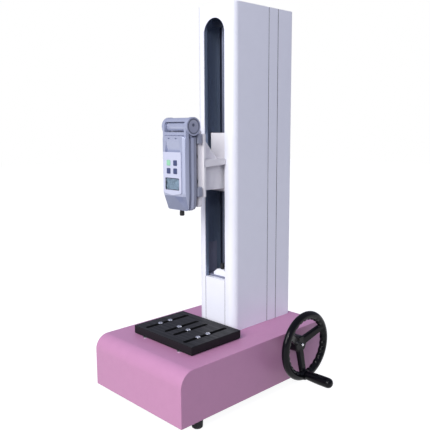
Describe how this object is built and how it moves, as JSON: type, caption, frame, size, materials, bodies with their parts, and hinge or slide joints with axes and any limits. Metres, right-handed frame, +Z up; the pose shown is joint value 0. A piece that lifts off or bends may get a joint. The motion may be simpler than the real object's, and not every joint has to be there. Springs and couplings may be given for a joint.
{
  "type": "force gauge stand",
  "caption": "Hand-cranked force test stand: a tall slotted column on a slotted-table base, with a digital force gauge on its sliding carriage.",
  "frame": {"origin": "on the ground plane that the rubber feet stand on, under the middle of the base cover", "axes": "+X towards the handwheel side, +Y towards the back (the column), +Z up"},
  "size_m": [0.3635, 0.4, 0.766],
  "materials": {
    "pink_paint": "satin powder coat",
    "white_paint": "satin powder coat",
    "cast_white": "painted casting",
    "frame_finish": "dark blue-grey, polished",
    "dark_steel": "plain",
    "block_alloy": "milled",
    "bright_steel": "polished",
    "zinc": "zinc plated",
    "brass": "machined",
    "rubber": "matt",
    "black_anodised": "black anodised, fine brushed",
    "black_plastic": "matt",
    "black_gloss": "gloss",
    "gauge_silver": "metallic silver lacquer",
    "gauge_dark": "satin dark grey",
    "face_pale": "pale satin film",
    "display_grey": "display",
    "lcd_glass": "clear window",
    "key_green": "silicone",
    "key_navy": "silicone",
    "cap_grey": "satin",
    "cell_alloy": "milled",
    "battery_wrap": "film",
    "black_steel": "blackened"
  },
  "bodies": {
    "root": {"base_plate": "dark_steel", "base_cover": "pink_paint", "rubber_feet": "rubber", "base_screws": "zinc", "table_support": "dark_steel", "table_spacers": "bright_steel", "table_screws": "bright_steel", "column_frame": "frame_finish", "column_foot_angles": "dark_steel", "column_front_cover": "white_paint", "column_rear_cover": "white_paint", "column_top_cap": "white_paint", "slot_filler_panel": "white_paint", "cover_standoffs": "zinc", "rear_cover_screws": "zinc", "guide_rods": "bright_steel", "lower_end_block": "block_alloy", "upper_end_block": "block_alloy", "frame_screws": "zinc", "stop_bracket": "block_alloy", "stop_block": "white_paint", "stop_bumper": "rubber", "screw_bearings": "bright_steel", "wheel_bearing_blocks": "dark_steel", "wheel_bearings": "bright_steel", "shaft_bush": "black_plastic"},
    "table": {"table_plate": "black_anodised"},
    "wheel": {"handwheel": "black_gloss", "hub_screw": "bright_steel", "wheel_shaft": "bright_steel", "drive_mitre_gear": "brass", "shaft_collar": "dark_steel", "grip_spindle": "bright_steel"},
    "grip": {"crank_grip": "black_gloss"},
    "screw": {"lead_screw": "bright_steel", "driven_mitre_gear": "brass"},
    "carriage": {"carriage_saddle": "cast_white", "linear_bushings": "bright_steel", "lead_nut": "brass", "bracket_arm": "cast_white", "mounting_plate": "cast_white", "carriage_screws": "zinc", "gauge_rear_shell": "gauge_dark", "gauge_mid_frame": "gauge_silver", "gauge_inner_cover": "gauge_dark", "load_cell": "cell_alloy", "battery_pack": "battery_wrap", "measuring_shaft": "bright_steel", "shaft_adapter": "black_steel", "pivot_pins": "bright_steel"},
    "housing": {"gauge_front_housing": "gauge_silver", "housing_back_plate": "gauge_dark", "gauge_faceplate": "face_pale", "display_board": "display_grey", "lcd_glass": "lcd_glass", "pivot_caps": "cap_grey"},
    "power_button": {"power_key": "key_green"},
    "peak_button": {"peak_key": "key_navy"},
    "zero_button": {"zero_key": "key_navy"},
    "unit_button": {"unit_key": "key_navy"}
  },
  "joints": [
    {"name": "handwheel_spin", "type": "hinge", "parent": "root", "child": "wheel", "pos_m": [0.1655, 0.0965, 0.1], "axis": [1, 0, 0], "range_deg": [-10800, 14400]},
    {"name": "grip_spin", "type": "hinge", "parent": "wheel", "child": "grip", "pos_m": [0.2, 0.09242, 0.04164], "axis": [1, 0, 0], "continuous": true},
    {"name": "lead_screw_spin", "type": "hinge", "parent": "root", "child": "screw", "pos_m": [0, 0.0965, 0.4], "axis": [0, 0, 1], "range_deg": [-14401, 10801]},
    {"name": "carriage_slide", "type": "slide", "parent": "root", "child": "carriage", "axis": [0, 0, 1], "range_m": [-0.1501, 0.2001]},
    {"name": "gauge_housing_swing", "type": "hinge", "parent": "carriage", "child": "housing", "pos_m": [0, -0.0795, 0.533], "axis": [-1, 0, 0], "range_deg": [0, 180]},
    {"name": "table_slide", "type": "slide", "parent": "root", "child": "table", "axis": [0, 1, 0], "range_m": [-0.04, 0.012]},
    {"name": "power_key_press", "type": "slide", "parent": "housing", "child": "power_button", "axis": [0, 1, 0], "range_m": [0, 0.0006], "stiffness_N_per_m": 800, "springref_m": -0.0003},
    {"name": "peak_key_press", "type": "slide", "parent": "housing", "child": "peak_button", "axis": [0, 1, 0], "range_m": [0, 0.0006], "stiffness_N_per_m": 800, "springref_m": -0.0003},
    {"name": "zero_key_press", "type": "slide", "parent": "housing", "child": "zero_button", "axis": [0, 1, 0], "range_m": [0, 0.0006], "stiffness_N_per_m": 800, "springref_m": -0.0003},
    {"name": "unit_key_press", "type": "slide", "parent": "housing", "child": "unit_button", "axis": [0, 1, 0], "range_m": [0, 0.0006], "stiffness_N_per_m": 800, "springref_m": -0.0003}
  ],
  "couplings": [
    {"joint": "lead_screw_spin", "follows": "handwheel_spin", "ratio": -1},
    {"joint": "carriage_slide", "follows": "handwheel_spin", "m_per_rad": 0.00079577}
  ]
}
